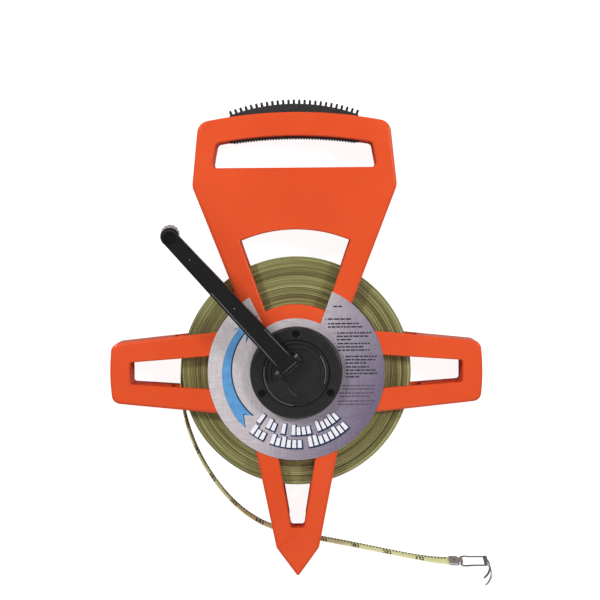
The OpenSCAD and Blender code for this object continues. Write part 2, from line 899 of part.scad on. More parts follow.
module hook_bail() {
    color(steel)
        on_hook()
            for (k = [0:len(bail_loop) - 1])
                wire(bail_loop[k], bail_loop[(k + 1) % len(bail_loop)], wire_r + bail_swell[k], wire_r / 2);
}

module claw_hook() {
    bend_c = [-claw_bend_r * cos(claw_sweep), -claw_bend_r * sin(claw_sweep)];
    half_fork = [[3, claw_half_w], [-2.6, claw_half_w], [-5.5, prong_half_w], [-12, prong_half_w],
        [-prong_l, prong_half_w - 0.6], [-prong_l, prong_half_w - 1.4], [-10, prong_half_w - 4.2]];
    fork = concat(half_fork, [for (k = [len(half_fork) - 1:-1:0]) [half_fork[k][0], -half_fork[k][1]]]);
    color(steel)
        on_hook()
            translate([bail_l, 0, 0])
                difference() {
                    union() {
                        rod(2, -claw_half_w, claw_half_w);
                        intersection() {
                            translate(bend_c)
                                linear_extrude(20, center = true)
                                    polygon(concat(arc([0, 0], claw_bend_r + claw_t / 2, claw_sweep, -claw_sweep, 24),
                                        arc([0, 0], claw_bend_r - claw_t / 2, -claw_sweep, claw_sweep, 24)));
                            rotate([90, 0, 90])
                                linear_extrude(40, center = true)
                                    polygon(fork);
                        }
                    }
                    rod(wire_bore, -10, 10);
                }
}

front_frame();
back_frame();
handle_grip();
front_label();
gear_cover();
cover_screws();
ring_gear();
front_bush();
spindle();
thrust_washer();
spindle_clip();
frame_screws();
drum();
tape_clamp();
tape_pack();
sun_gear();
planet_gear(0);  // planet_gear_1
planet_gear(1);  // planet_gear_2
planet_gear(2);  // planet_gear_3
planet_pins();
crank_disc();
hinge_pin();
crank_arm();
knob_axle();
crank_knob();
knob_collar();
tape_tail();
tail_clip();
clip_rivet();
hook_bail();
claw_hook();
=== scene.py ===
"""Surveyor tape reel: looks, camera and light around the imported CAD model."""
import bpy
import bmesh
import json
import math
import random
from mathutils import Matrix, Vector, noise

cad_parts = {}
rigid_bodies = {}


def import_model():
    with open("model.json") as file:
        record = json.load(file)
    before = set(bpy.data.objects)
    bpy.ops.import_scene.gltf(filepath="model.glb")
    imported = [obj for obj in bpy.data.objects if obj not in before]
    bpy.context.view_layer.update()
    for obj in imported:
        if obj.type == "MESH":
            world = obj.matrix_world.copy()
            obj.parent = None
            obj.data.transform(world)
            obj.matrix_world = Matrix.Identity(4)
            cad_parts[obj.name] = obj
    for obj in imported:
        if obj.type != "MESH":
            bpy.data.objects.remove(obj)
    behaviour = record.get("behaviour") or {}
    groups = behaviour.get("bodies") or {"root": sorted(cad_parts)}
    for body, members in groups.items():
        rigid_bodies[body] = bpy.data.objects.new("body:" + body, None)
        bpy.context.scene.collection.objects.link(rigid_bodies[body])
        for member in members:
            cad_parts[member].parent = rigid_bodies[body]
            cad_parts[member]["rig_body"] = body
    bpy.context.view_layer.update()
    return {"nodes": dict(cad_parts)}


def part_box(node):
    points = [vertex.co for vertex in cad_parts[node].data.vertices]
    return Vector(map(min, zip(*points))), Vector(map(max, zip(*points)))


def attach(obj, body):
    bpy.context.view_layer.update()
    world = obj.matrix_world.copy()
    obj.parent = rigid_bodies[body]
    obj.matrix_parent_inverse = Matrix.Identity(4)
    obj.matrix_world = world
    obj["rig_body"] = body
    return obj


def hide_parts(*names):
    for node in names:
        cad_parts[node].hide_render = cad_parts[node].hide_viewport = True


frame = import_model()
nodes = frame["nodes"]

MM = 0.001
AXIS_Z = Vector((0, 0, 1))


def mm(*values):
    """A point given in millimetres, in metres."""
    return Vector(values) * MM


# ---------------------------------------------------------------- camera

def make_camera():
    """Looks almost straight down on the reel's face, as the photograph does."""
    face_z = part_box("front_frame")[1].z
    distance = 1.15
    place = Vector((8.5 * MM, 130 * MM, face_z + distance))
    target = Vector((4 * MM, 65.5 * MM, face_z))
    roll = math.radians(0.5)
    back = (place - target).normalized()
    right = Vector((math.sin(roll), math.cos(roll), 0)).cross(back).normalized()
    up = back.cross(right)
    data = bpy.data.cameras.new("camera")
    data.sensor_width = 36
    data.lens = 76.7
    data.clip_end = 20
    cam = bpy.data.objects.new("camera", data)
    bpy.context.scene.collection.objects.link(cam)
    cam.location = place
    cam.rotation_mode = "QUATERNION"
    cam.rotation_quaternion = Matrix((right, up, back)).transposed().to_quaternion()
    bpy.context.scene.camera = cam


# ---------------------------------------------------------------- materials

class Shader:
    """A material under construction: its nodes, links and main shader."""

    def __init__(self, name, **values):
        self.mat = bpy.data.materials.new(name)
        self.mat.use_nodes = True
        self.nodes = self.mat.node_tree.nodes
        self.links = self.mat.node_tree.links
        self.bsdf = self.nodes["Principled BSDF"]
        for socket, value in values.items():
            self.bsdf.inputs[socket.replace("_", " ")].default_value = value
        self.coords = self.nodes.new("ShaderNodeTexCoord").outputs["Object"]

    def join(self, source, target):
        self.links.new(source, target)

    def scaled(self, scale, source=None, turn=0.0):
        """Object coordinates stretched along each axis, after a turn about Z."""
        node = self.nodes.new("ShaderNodeMapping")
        node.inputs["Scale"].default_value = scale
        node.inputs["Rotation"].default_value = (0, 0, turn)
        self.join(source or self.coords, node.inputs["Vector"])
        return node.outputs["Vector"]

    def noise(self, scale, detail=3.0, rough=0.5, source=None):
        node = self.nodes.new("ShaderNodeTexNoise")
        node.inputs["Scale"].default_value = scale
        node.inputs["Detail"].default_value = detail
        node.inputs["Roughness"].default_value = rough
        self.join(source or self.coords, node.inputs["Vector"])
        return node.outputs["Fac"]

    def math(self, kind, a, b=0.0):
        node = self.nodes.new("ShaderNodeMath")
        node.operation = kind
        for value, socket in zip((a, b), node.inputs):
            if isinstance(value, (int, float)):
                socket.default_value = value
            else:
                self.join(value, socket)
        return node.outputs[0]

    def ramp(self, source, stops):
        """Colours or grey levels along 0..1; stops are (place, value)."""
        node = self.nodes.new("ShaderNodeValToRGB")
        band = node.color_ramp
        while len(band.elements) < len(stops):
            band.elements.new(0.5)
        for element, (place, value) in zip(band.elements, stops):
            element.position = place
            element.color = rgba(value) if hasattr(value, "__len__") else (value, value, value, 1)
        self.join(source, node.inputs["Fac"])
        return node.outputs["Color"]

    def mix(self, fac, a, b, kind="MIX"):
        node = self.nodes.new("ShaderNodeMix")
        node.data_type = "RGBA"
        node.blend_type = kind
        first_colour, second_colour = node.inputs[6], node.inputs[7]
        for value, socket in zip((fac, a, b), (node.inputs["Factor"], first_colour, second_colour)):
            if hasattr(value, "is_output"):
                self.join(value, socket)
            else:
                socket.default_value = value if isinstance(value, float) else rgba(value)
        return node.outputs[2]

    def colour(self, source):
        self.join(source, self.bsdf.inputs["Base Color"])

    def rough(self, source, low, high):
        self.join(self.ramp(source, [(0.25, low), (0.75, high)]), self.bsdf.inputs["Roughness"])

    def bump(self, source, height, strength=1.0):
        node = self.nodes.new("ShaderNodeBump")
        node.inputs["Distance"].default_value = height
        node.inputs["Strength"].default_value = strength
        last = self.bsdf.inputs["Normal"].links
        if last:
            self.join(last[0].from_socket, node.inputs["Normal"])
        self.join(source, node.inputs["Height"])
        self.join(node.outputs["Normal"], self.bsdf.inputs["Normal"])


def linear(level):
    level /= 255
    return level / 12.92 if level <= 0.04045 else ((level + 0.055) / 1.055) ** 2.4


def srgb(r, g, b):
    """A screen colour, 0 to 255, as linear light."""
    return (linear(r), linear(g), linear(b))


def rgba(colour):
    return (*colour, 1.0) if len(colour) == 3 else tuple(colour)


def orange_plastic():
    s = Shader("orange_plastic", Roughness=0.4, IOR=1.5)
    cloud = s.noise(14, 3, 0.55)
    grain = s.noise(900, 2, 0.6)
    body = s.ramp(cloud, [(0.3, srgb(228, 76, 26)), (0.7, srgb(236, 84, 34))])
    s.colour(s.mix(s.ramp(grain, [(0.62, 0.0), (0.8, 0.35)]), body, srgb(240, 104, 58)))
    s.rough(s.noise(60, 4, 0.6), 0.24, 0.36)
    s.bump(grain, 0.00004, 0.5)
    s.bump(s.noise(45, 2, 0.4), 0.0002, 0.25)
    return s.mat


def black_plastic(name, tone, gloss):
    s = Shader(name, Roughness=gloss, IOR=1.5)
    cloud = s.noise(25, 4, 0.6)
    body = s.ramp(cloud, [(0.3, tuple(0.8 * c for c in tone)), (0.75, tuple(1.25 * c for c in tone))])
    scuff = s.noise(1.0, 5, 0.7, s.scaled((260, 40, 60), turn=0.7))
    s.colour(s.mix(s.ramp(scuff, [(0.66, 0.0), (0.78, 0.3)]), body, tuple(2.6 * c for c in tone)))
    s.rough(s.noise(120, 4, 0.6), gloss - 0.07, gloss + 0.12)
    s.bump(s.noise(1400, 2, 0.5), 0.00005, 0.6)
    return s.mat


def black_rubber():
    s = Shader("black_rubber", Roughness=0.72, IOR=1.5)
    s.bsdf.inputs["Sheen Weight"].default_value = 0.15
    s.colour(s.ramp(s.noise(70, 4, 0.6), [(0.3, srgb(24, 23, 24)), (0.8, srgb(44, 43, 44))]))
    s.rough(s.noise(300, 3, 0.6), 0.6, 0.85)
    s.bump(s.noise(700, 4, 0.7), 0.00012, 0.7)
    return s.mat


def label_print():
    """Brushed silver print: pale and warm at the left, darker and lilac at the lower right."""
    s = Shader("label_print", Roughness=0.42, Metallic=0.25)
    split = s.nodes.new("ShaderNodeSeparateXYZ")
    s.join(s.coords, split.inputs[0])
    across, down = s.math("MULTIPLY", split.outputs["X"], 7.0), s.math("MULTIPLY", split.outputs["Y"], 3.2)
    drift = s.math("SUBTRACT", across, down)
    tones = [(0.0, srgb(224, 216, 218)), (0.36, srgb(212, 203, 207)),
             (0.6, srgb(172, 162, 174)), (1.0, srgb(124, 114, 138))]
    tone = s.ramp(s.math("ADD", drift, 0.42), tones)
    warp = s.noise(30, 2, 0.5)
    streak = s.noise(1.0, 4, 0.6, s.scaled((520, 95, 60), turn=-0.95))
    cross = s.noise(1.0, 4, 0.6, s.scaled((110, 430, 60), turn=-0.2))
    brushed = s.mix(s.ramp(warp, [(0.4, 0.0), (0.6, 1.0)]), streak, cross)
    shine = s.ramp(brushed, [(0.34, (0.6, 0.58, 0.66)), (0.66, (1.25, 1.24, 1.28))])
    s.colour(s.mix(0.32, tone, shine, "MULTIPLY"))
    s.rough(brushed, 0.32, 0.55)
    s.bump(brushed, 0.00003, 0.5)
    return s.mat


def ink(name, colour, spread=0.12):
    """Printed ink with a little unevenness."""
    s = Shader(name, Roughness=0.45)
    low = tuple(c * (1 - spread) for c in colour)
    high = tuple(min(1, c * (1 + spread)) for c in colour)
    s.colour(s.ramp(s.noise(180, 3, 0.6), [(0.3, low), (0.7, high)]))
    s.rough(s.noise(400, 2, 0.5), 0.38, 0.55)
    return s.mat


def metal(name, colour, gloss, brushed=0.5):
    s = Shader(name, Metallic=1.0, Roughness=gloss)
    tarnish = s.noise(160, 4, 0.65)
    s.colour(s.ramp(tarnish, [(0.3, tuple(0.72 * c for c in colour)), (0.7, colour)]))
    scratch = s.noise(1.0, 5, 0.7, s.scaled((1500, 240, 700), turn=0.3))
    s.rough(scratch, gloss - 0.08, gloss + 0.14)
    s.bump(scratch, 0.00003, brushed)
    return s.mat


def pale_plastic(name, low, high):
    s = Shader(name, Roughness=0.45)
    s.colour(s.ramp(s.noise(60, 4, 0.6), [(0.3, low), (0.7, high)]))
    s.rough(s.noise(200, 3, 0.6), 0.36, 0.55)
    s.bump(s.noise(900, 3, 0.6), 0.00006, 0.5)
    return s.mat


def wound_tape():
    """Edges of the wound turns: olive, with lighter and darker bands by radius; the darkest bands are
    painted shade in the gaps between turns, the palest painted highlights on the turns' edges.
    """
    s = Shader("wound_tape", Roughness=0.55)
    split = s.nodes.new("ShaderNodeSeparateXYZ")
    s.join(s.coords, split.inputs[0])
    x_squared, y_squared = (s.math("POWER", split.outputs[axis], 2.0) for axis in "XY")
    radius = s.math("SQRT", s.math("ADD", x_squared, y_squared))
    ring = s.nodes.new("ShaderNodeCombineXYZ")
    s.join(s.math("MULTIPLY", radius, 1300.0), ring.inputs["X"])
    s.join(s.math("MULTIPLY", split.outputs["X"], 5.0), ring.inputs["Y"])
    s.join(s.math("MULTIPLY", split.outputs["Y"], 5.0), ring.inputs["Z"])
    fine = s.noise(1.0, 3, 0.7, ring.outputs[0])
    broad = s.noise(0.17, 2, 0.5, ring.outputs[0])
    tone = s.math("ADD", s.math("MULTIPLY", fine, 0.7), s.math("MULTIPLY", broad, 0.3))
    # Ramp over the radial bands: its dark stops paint shade into the gaps between turns and its palest stop
    # paints highlights on the turns' edges; the middle stops are the tape's own olive tone.
    olive = s.ramp(tone, [(0.36, srgb(44, 40, 12)), (0.43, srgb(92, 88, 42)), (0.5, srgb(130, 127, 72)),
                          (0.56, srgb(152, 150, 94)), (0.66, srgb(204, 203, 148))])
    dust = s.noise(1500, 3, 0.7)
    s.colour(s.mix(s.ramp(dust, [(0.6, 0.0), (0.74, 0.5)]), olive, srgb(112, 104, 60)))
    s.rough(dust, 0.45, 0.7)
    s.bump(fine, 0.0003, 0.8)
    s.bump(dust, 0.0001, 0.5)
    return s.mat


def tape_plastic():
    """Coated fibreglass tape: pale yellow with long faint fibres."""
    s = Shader("tape_plastic", Roughness=0.42)
    fibre = s.noise(1.0, 3, 0.6, s.scaled((150, 150, 2600)))
    blotch = s.noise(40, 3, 0.6)
    base = s.ramp(blotch, [(0.3, srgb(226, 224, 160)), (0.7, srgb(240, 240, 188))])
    s.colour(s.mix(s.ramp(fibre, [(0.5, 0.0), (0.72, 0.5)]), base, srgb(196, 192, 128)))
    s.rough(fibre, 0.35, 0.52)
    s.bump(fibre, 0.00005, 0.6)
    return s.mat


def floor_paint():
    s = Shader("floor_paint", Roughness=0.9)
    s.colour(s.ramp(s.noise(3, 2, 0.5), [(0.3, (0.40, 0.40, 0.40)), (0.7, (0.42, 0.42, 0.42))]))
    s.bsdf.inputs["Emission Color"].default_value = (1, 1, 1, 1)
    seen = s.nodes.new("ShaderNodeLightPath").outputs["Is Camera Ray"]
    s.join(s.math("MULTIPLY", seen, 0.9), s.bsdf.inputs["Emission Strength"])
    return s.mat


PAINT = {
    "orange": orange_plastic(),
    "black": black_plastic("black_plastic", srgb(24, 22, 23), 0.36),
    "arm_black": black_plastic("arm_black", srgb(19, 18, 19), 0.18),
    "cover_black": black_plastic("cover_black", srgb(28, 26, 27), 0.4),
    # Pale black paint for the thin raised lines on the arm and the disc: painted highlights where their
    # edges catch the light.
    "highlight_black": black_plastic("highlight_black", srgb(104, 100, 100), 0.25),
    "rubber": black_rubber(),
    "label": label_print(),
    "steel": metal("plated_steel", srgb(150, 144, 148), 0.28),
    "dark_steel": metal("blackened_steel", srgb(44, 41, 41), 0.5),
    "bright_steel": metal("bright_steel", srgb(206, 198, 200), 0.36),
    "brass": metal("dull_brass", srgb(182, 164, 126), 0.34),
    "nylon": pale_plastic("nylon", srgb(196, 194, 186), srgb(214, 212, 204)),
    "knob": pale_plastic("knob_plastic", srgb(150, 150, 152), srgb(186, 186, 188)),
    "wound": wound_tape(),
    "tape": tape_plastic(),
    "blue": ink("blue_ink", srgb(92, 158, 214)),
    "navy": ink("navy_ink", srgb(24, 42, 86)),
    "white": ink("white_ink", srgb(244, 244, 250), 0.04),
    "grey": ink("grey_ink", srgb(44, 40, 52)),
    "pale_grey": ink("pale_grey_ink", srgb(94, 82, 98)),
    "tape_ink": ink("tape_ink", srgb(34, 34, 26)),
    "tape_red": ink("tape_red_ink", srgb(168, 44, 34)),
    "floor": floor_paint(),
}


# ---------------------------------------------------------------- mesh helpers

WELD = 0.004 * MM  # points closer than this are joined
FLAT = math.radians(0.4)  # faces that turn less than this are merged


def new_piece(name, verts, faces, paint, smooth=True):
    mesh = bpy.data.meshes.new(name)
    mesh.from_pydata([tuple(v) for v in verts], [], faces)
    mesh.validate()
    mesh.polygons.foreach_set("use_smooth", [smooth] * len(mesh.polygons))
    mesh.materials.append(PAINT[paint])
    piece = bpy.data.objects.new(name, mesh)
    bpy.context.scene.collection.objects.link(piece)
    return piece


def close_normals(piece):
    """Turns every face outwards."""
    shape = bmesh.new()
    shape.from_mesh(piece.data)
    bmesh.ops.recalc_face_normals(shape, faces=shape.faces)
    shape.to_mesh(piece.data)
    shape.free()


def soften(piece, width, segments=2, angle=26):
    """Rounds the sharp edges and keeps flat faces flat in the shading."""
    bevel = piece.modifiers.new("edges", "BEVEL")
    bevel.width = width * MM
    bevel.segments = segments
    bevel.limit_method = "ANGLE"
    bevel.angle_limit = math.radians(angle)
    bevel.harden_normals = True
    weighted = piece.modifiers.new("normals", "WEIGHTED_NORMAL")
    weighted.keep_sharp = True


def refine(node, paint, width, segments=2):
    """A finished copy of a CAD node, with rounded edges, in the node's place."""
    source = nodes[node]
    body = source["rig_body"]
    piece = bpy.data.objects.new(node + "_finished", source.data.copy())
    bpy.context.scene.collection.objects.link(piece)
    shape = bmesh.new()
    shape.from_mesh(piece.data)
    bmesh.ops.remove_doubles(shape, verts=shape.verts, dist=WELD)
    bmesh.ops.dissolve_limit(shape, angle_limit=FLAT, verts=shape.verts, edges=shape.edges)
    bmesh.ops.recalc_face_normals(shape, faces=shape.faces)
    for face in shape.faces:
        face.smooth = True
    shape.to_mesh(piece.data)
    shape.free()
    if "custom_normal" in piece.data.attributes:
        piece.data.attributes.remove(piece.data.attributes["custom_normal"])
    piece.data.materials.clear()
    piece.data.materials.append(PAINT[paint])
    soften(piece, width, segments)
    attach(piece, body)
    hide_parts(node)
    return piece


def paint_node(node, paint):
    """Gives a CAD node its finish where its shape needs no more work."""
    mesh = nodes[node].data
    mesh.materials.clear()
    mesh.materials.append(PAINT[paint])


def spline(points, steps):
    """Points on a Catmull-Rom curve through the given ones, steps to each span."""
    out = []
    last = len(points) - 1
    for i in range(last):
        p0, p1, p2, p3 = (points[min(max(k, 0), last)] for k in (i - 1, i, i + 1, i + 2))
        for s in range(steps):
            t = s / steps
            out.append(0.5 * ((2 * p1) + (p2 - p0) * t + (2 * p0 - 5 * p1 + 4 * p2 - p3) * t * t
                              + (3 * p1 - p0 - 3 * p2 + p3) * t ** 3))
    out.append(points[-1])
    return out


def polar(radius, degrees):
    turn = math.radians(degrees)
    return radius * math.cos(turn), radius * math.sin(turn)


def prism_faces(start, n):
    """Faces of a prism whose lower ring of n points begins at start, with its upper ring after it."""
    ends = [[start + n + i for i in range(n)], [start + i for i in reversed(range(n))]]
    sides = [(start + i, start + (i + 1) % n, start + n + (i + 1) % n, start + n + i) for i in range(n)]
    return ends + sides


def plates(name, outlines, z_low, z_high, paint):
    """Thin flat plates, one for each outline of (x, y) points in millimetres, as one piece."""
    verts, faces = [], []
    for outline in outlines:
        start, n = len(verts), len(outline)
        verts += [mm(x, y, z_low) for x, y in outline] + [mm(x, y, z_high) for x, y in outline]
        faces += prism_faces(start, n)
    piece = new_piece(name, verts, faces, paint, smooth=False)
    close_normals(piece)
    return piece


# ---------------------------------------------------------------- label print

LABEL_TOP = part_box("front_label")[1].z / MM
INK_BASE = LABEL_TOP - 0.02
FINE_INK = LABEL_TOP + 0.03
SHADOW_INK = LABEL_TOP + 0.04
TOP_INK = LABEL_TOP + 0.07


def on_label(piece):
    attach(piece, "reel")


def arrow_edges(theta):
    """Inner and outer radius of the curved arrow's band at an angle."""
    t = (theta - 140) / 85
    return 59 + 3.2 * t - 6.4 * t * t, 64.5 + 6 * t - 2.2 * t * t


def curved_arrow(grow, z_high, name, paint):
    """Curved arrow round the cover, with a swallow tail and a barbed head; grow widens it."""
    angles = [140 + 84 * i / 24 for i in range(25)]
    inner = [polar(arrow_edges(a)[0] - 1.25 * grow, a) for a in angles]
    outer = [polar(arrow_edges(a)[1] + 0.15 * grow, a) for a in angles]
    tail_in = polar(arrow_edges(224)[0] - 1.4 * grow, 224.6 + 0.9 * grow)
    tail_out = polar(arrow_edges(224)[1] + 0.1 * grow, 226.6 + 0.9 * grow)
    notch = polar(61, 217.6 + 1.2 * grow)
    head = [polar(68.2 + 0.5 * grow, 145.2 + 1.6 * grow), polar(62, 124 - grow),
            polar(53.6 - grow, 147.5 + 1.8 * grow)]
    outline = [inner[0]] + inner[1:-1] + [tail_in, notch, tail_out] + outer[-2::-1] + head
    on_label(plates(name, [outline], INK_BASE, z_high, paint))


def word_rows(words, r_low, r_high, start, end):
    """Upright blocks that stand where letters would, grouped as words along an arc."""
    slots = sum(words) + len(words) - 1
    pitch = (end - start) / slots
    blocks, k = [], 0
    for w, count in enumerate(words):
        for i in range(count):
            tall = i == 0 or (i * 7 + w * 3) % 4 == 1
            blocks.append((start + pitch * (k + 0.5), r_low + (0 if tall else 2.2), r_high, pitch * 0.36))
            k += 1
        k += 1
    return blocks


def block_outline(block, grow, slip=(0, 0)):
    middle, low, high, half = block
    half += math.degrees(grow / high)
    corners = [(low - grow, -half), (low - grow, half), (high + grow, half), (high + grow, -half)]
    return [(polar(r, middle + a)[0] + slip[0], polar(r, middle + a)[1] + slip[1]) for r, a in corners]


def fine_print():
    """Rows of small dashes at the right, in indented groups."""
    groups = [
        (34, 59.4, [8], 0), (29, 48, [21], 1), (29, 43.9, [28, 32], 1), (37, 35.4, [31, 28, 13], 1),
        (37.6, 25.8, [29, 24, 29], 1), (44.5, 14.1, [29, 27, 19], 1), (45, 4.6, [22, 28, 30, 12], 1),
    ]
    pale = [(41.4, -12.4, [30, 30], 0), (38.5, -19.1, [32, 28], 0), (37.8, -26.4, [33, 31], 0)]
    leading, gap, bullet_size = 3.0, 0.75, 0.8
    draw = random.Random(5)
    dark_marks, pale_marks = [], []
    for marks, blocks in ((dark_marks, groups), (pale_marks, pale)):
        for left, top, lengths, bullet in blocks:
            if bullet:
                marks.append(box_outline(left - 2.6, top, bullet_size, bullet_size))
            for row, length in enumerate(lengths):
                y, x = top - row * leading, left
                while x < left + length - 1:
                    run = min(draw.uniform(1.6, 5.2), left + length - x)
                    marks.append(box_outline(x, y, run, 1.35))
                    x += run + gap
    on_label(plates("print_small_dark", dark_marks, INK_BASE, FINE_INK, "grey"))
    on_label(plates("print_small_pale", pale_marks, INK_BASE, FINE_INK, "pale_grey"))


def box_outline(x, y, width, height):
    """Box that starts at x and is centred on the line y."""
    low, high = y - height / 2, y + height / 2
    return [(x, low), (x + width, low), (x + width, high), (x, high)]


def make_label():
    refine("front_label", "label", 0.12, 1)
    curved_arrow(1.0, SHADOW_INK, "print_arrow_shadow", "navy")
    curved_arrow(0.0, TOP_INK, "print_arrow", "blue")
    inner_row = word_rows([1, 2, 1, 4, 5], 47.6, 57.0, 230, 313.5)
    outer_row = word_rows([3, 6, 8], 59.4, 68.8, 231, 313.5)
    blocks = inner_row + outer_row
    shade = (0.6, -0.6)
    shadows = [block_outline(b, 0.95, shade) for b in blocks]
    on_label(plates("print_block_shadow", shadows, INK_BASE, SHADOW_INK, "navy"))
    on_label(plates("print_blocks", [block_outline(b, 0.0) for b in blocks], INK_BASE, TOP_INK, "white"))
    fine_print()


# ---------------------------------------------------------------- wound tape

def make_pack():
    """Turns of tape on edge: ridges and grooves that wander a little round the reel."""
    low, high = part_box("tape_pack")
    outer = high.x / MM
    z_low, z_high = low.z / MM, high.z / MM
    inner, pitch, around = 50.0, 0.75, 240
    draw = random.Random(11)
    turns = int((outer - 0.15 - inner) / pitch)
    gap_places = ((66.5, 0.5), (73.5, 0.4), (84.6, 0.8), (90.8, 1.5), (96.2, 0.7), (100.6, 0.6))
    gaps = {int((r - inner) / pitch): depth for r, depth in gap_places}
    verts, faces = [], []

    def side(z_face, sign, offset):
        profile, level = [], 0.2
        for turn in range(turns):
            if draw.random() < 0.3:
                level = draw.uniform(0.05, 0.55)
            h = level + draw.uniform(0, 0.12)
            r = inner + turn * pitch
            profile += [(r + 0.1, h), (r + pitch * 0.62, h + 0.03),
                        (r + pitch * 0.82, h + gaps.get(turn, 0.0) + draw.uniform(0.16, 0.4))]
        profile.append((outer - 0.15, 0.35))
        base = len(verts)
        for r, h in profile:
            wander = 0.45 * min(1.0, (outer - r) / 12, (r - inner) / 6)
            for k in range(around):
                a = math.tau * k / around
                drift = wander * (math.sin(2 * a + 0.09 * r + offset) + 0.6 * math.sin(3 * a - 0.13 * r)
                                  + 0.35 * math.sin(7 * a + 0.4 * r))
                sag = 0.14 * noise.noise(Vector((3 * math.cos(a), 3 * math.sin(a), 0.5 * r + offset)))
                x, y = (r + drift) * math.cos(a), (r + drift) * math.sin(a)
                verts.append(mm(x, y, z_face - sign * max(0.02, h + sag)))
        for j in range(len(profile) - 1):
            for k in range(around):
                p, q = base + j * around + k, base + j * around + (k + 1) % around
                faces.append((p, q, q + around, p + around) if sign > 0 else (p, p + around, q + around, q))
        return base, base + (len(profile) - 1) * around

    top_in, top_out = side(z_high, 1, 0.0)
    low_in, low_out = side(z_low, -1, 2.0)
    for k in range(around):
        n = (k + 1) % around
        faces.append((top_out + k, top_out + n, low_out + n, low_out + k))
        faces.append((top_in + n, top_in + k, low_in + k, low_in + n))
    piece = new_piece("wound_turns", verts, faces, "wound")
    close_normals(piece)
    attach(piece, "drum")
    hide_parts("tape_pack")


# ---------------------------------------------------------------- free tape

TAPE_W = 13.0
TAPE_T = 0.45
TAIL_ROUTE = [Vector(p) * MM for p in (
    (-102, 26, 17), (-104.3, 13, 17), (-105.3, 0, 17), (-105.4, -12, 17), (-104.6, -24.3, 16.7),
    (-103.2, -36.5, 16), (-101.1, -47.2, 15), (-98.4, -56.7, 14), (-93.6, -70.1, 12.2), (-87.1, -84.5, 10.2),
    (-80.9, -95.5, 8.8), (-74.7, -105.1, 7.7), (-68, -114, 7), (-60, -122.9, 6.7), (-50.7, -131.4, 6.6),
    (-40, -139, 6.6), (-28.3, -145.2, 6.6), (-14.8, -150, 6.6), (-0.8, -153.6, 6.6), (12.7, -156.7, 6.6),
    (26, -159.5, 6.7), (42, -162.6, 6.9), (58, -165.8, 7.4), (74, -169, 8.1), (90, -172.2, 9),
    (106.2, -175.2, 10.1), (122.2, -177.7, 11.3), (132.4, -178.7, 12.1), (142.8, -179.3, 12.6))]
TAIL_LEAN = [i if i < 6 else 7 if i < 26 else 7 + (i - 25) * 3 for i in range(len(TAIL_ROUTE))]
SPAN_STEPS = 6


class Ribbon:
    """The tape's surface: s along it from the reel, h across it from the lower edge, in metres."""

    def __init__(self):
        self.path = spline(TAIL_ROUTE, SPAN_STEPS)
        lean = spline([Vector((a, 0, 0)) for a in TAIL_LEAN], SPAN_STEPS)
        self.lean = [math.radians(v.x) for v in lean]
        self.along = [0.0]
        for a, b in zip(self.path, self.path[1:]):
            self.along.append(self.along[-1] + (b - a).length)
        self.length = self.along[-1]
        self.frames = [self.axes(i) for i in range(len(self.path))]

    def axes(self, i):
        """Upward direction of the width, and the inner face's normal, at a path point."""
        ahead = self.path[min(i + 1, len(self.path) - 1)] - self.path[max(i - 1, 0)]
        side = Vector((ahead.y, -ahead.x, 0)).normalized()
        up = side * math.sin(self.lean[i]) + AXIS_Z * math.cos(self.lean[i])
        return up, AXIS_Z * math.sin(self.lean[i]) - side * math.cos(self.lean[i])

    def at(self, s, h, lift):
        """Point at s and h, lift above the tape's middle plane on the reel's side."""
        s = min(max(s, 0.0), self.length)
        i = next((k for k in range(len(self.along) - 1) if self.along[k + 1] >= s), len(self.along) - 2)
        t = (s - self.along[i]) / (self.along[i + 1] - self.along[i])
        up = self.frames[i][0].lerp(self.frames[i + 1][0], t)
        face = self.frames[i][1].lerp(self.frames[i + 1][1], t)
        return self.path[i].lerp(self.path[i + 1], t) + up * (h - TAPE_W * MM / 2) + face * lift


def make_tape(ribbon):
    """The tape itself, with rounded edges."""
    half_t = TAPE_T / 2
    section = [(0.12, -half_t), (0, 0), (0.12, half_t), (TAPE_W * 0.33, half_t), (TAPE_W * 0.67, half_t),
               (TAPE_W - 0.12, half_t), (TAPE_W, 0), (TAPE_W - 0.12, -half_t), (TAPE_W * 0.5, -half_t)]
    n, rings = len(section), len(ribbon.path)
    verts = [ribbon.at(s, h * MM, t * MM) for s in ribbon.along for h, t in section]
    faces = [(n * r + k, n * r + (k + 1) % n, n * r + n + (k + 1) % n, n * r + n + k)
             for r in range(rings - 1) for k in range(n)]
    faces += [list(range(n)), list(range(n * rings - n, n * rings))]
    piece = new_piece("free_tape", verts, faces, "tape")
    close_normals(piece)
    return piece


DIGITS = {  # strokes of each figure on a 3 by 5 grid of points, as (x0, y0, x1, y1)
    "0": [(0, 0, 2, 0), (2, 0, 2, 4), (2, 4, 0, 4), (0, 4, 0, 0)],
    "1": [(1, 0, 1, 4), (1, 4, 0.2, 3.2)],
    "2": [(0, 0, 2, 0), (0, 0, 2, 2.6), (2, 2.6, 2, 4), (2, 4, 0, 4)],
    "3": [(0, 0, 2, 0), (2, 0, 2, 4), (2, 4, 0, 4), (0.6, 2, 2, 2)],
    "4": [(1.6, 0, 1.6, 4), (1.6, 4, 0, 1.4), (0, 1.4, 2.2, 1.4)],
    "5": [(0, 0, 2, 0), (2, 0, 2, 2.2), (2, 2.2, 0, 2.2), (0, 2.2, 0, 4), (0, 4, 2, 4)],
    "6": [(0, 0, 2, 0), (2, 0, 2, 2), (2, 2, 0, 2), (0, 0, 0, 4), (0, 4, 1.8, 4)],
    "7": [(0, 4, 2, 4), (2, 4, 0.8, 0)],
    "8": [(0, 0, 2, 0), (0, 0, 0, 4), (2, 0, 2, 4), (0, 4, 2, 4), (0, 2, 2, 2)],
    "9": [(2, 0, 2, 4), (0, 4, 2, 4), (0, 2, 0, 4), (0, 2, 2, 2)],
}


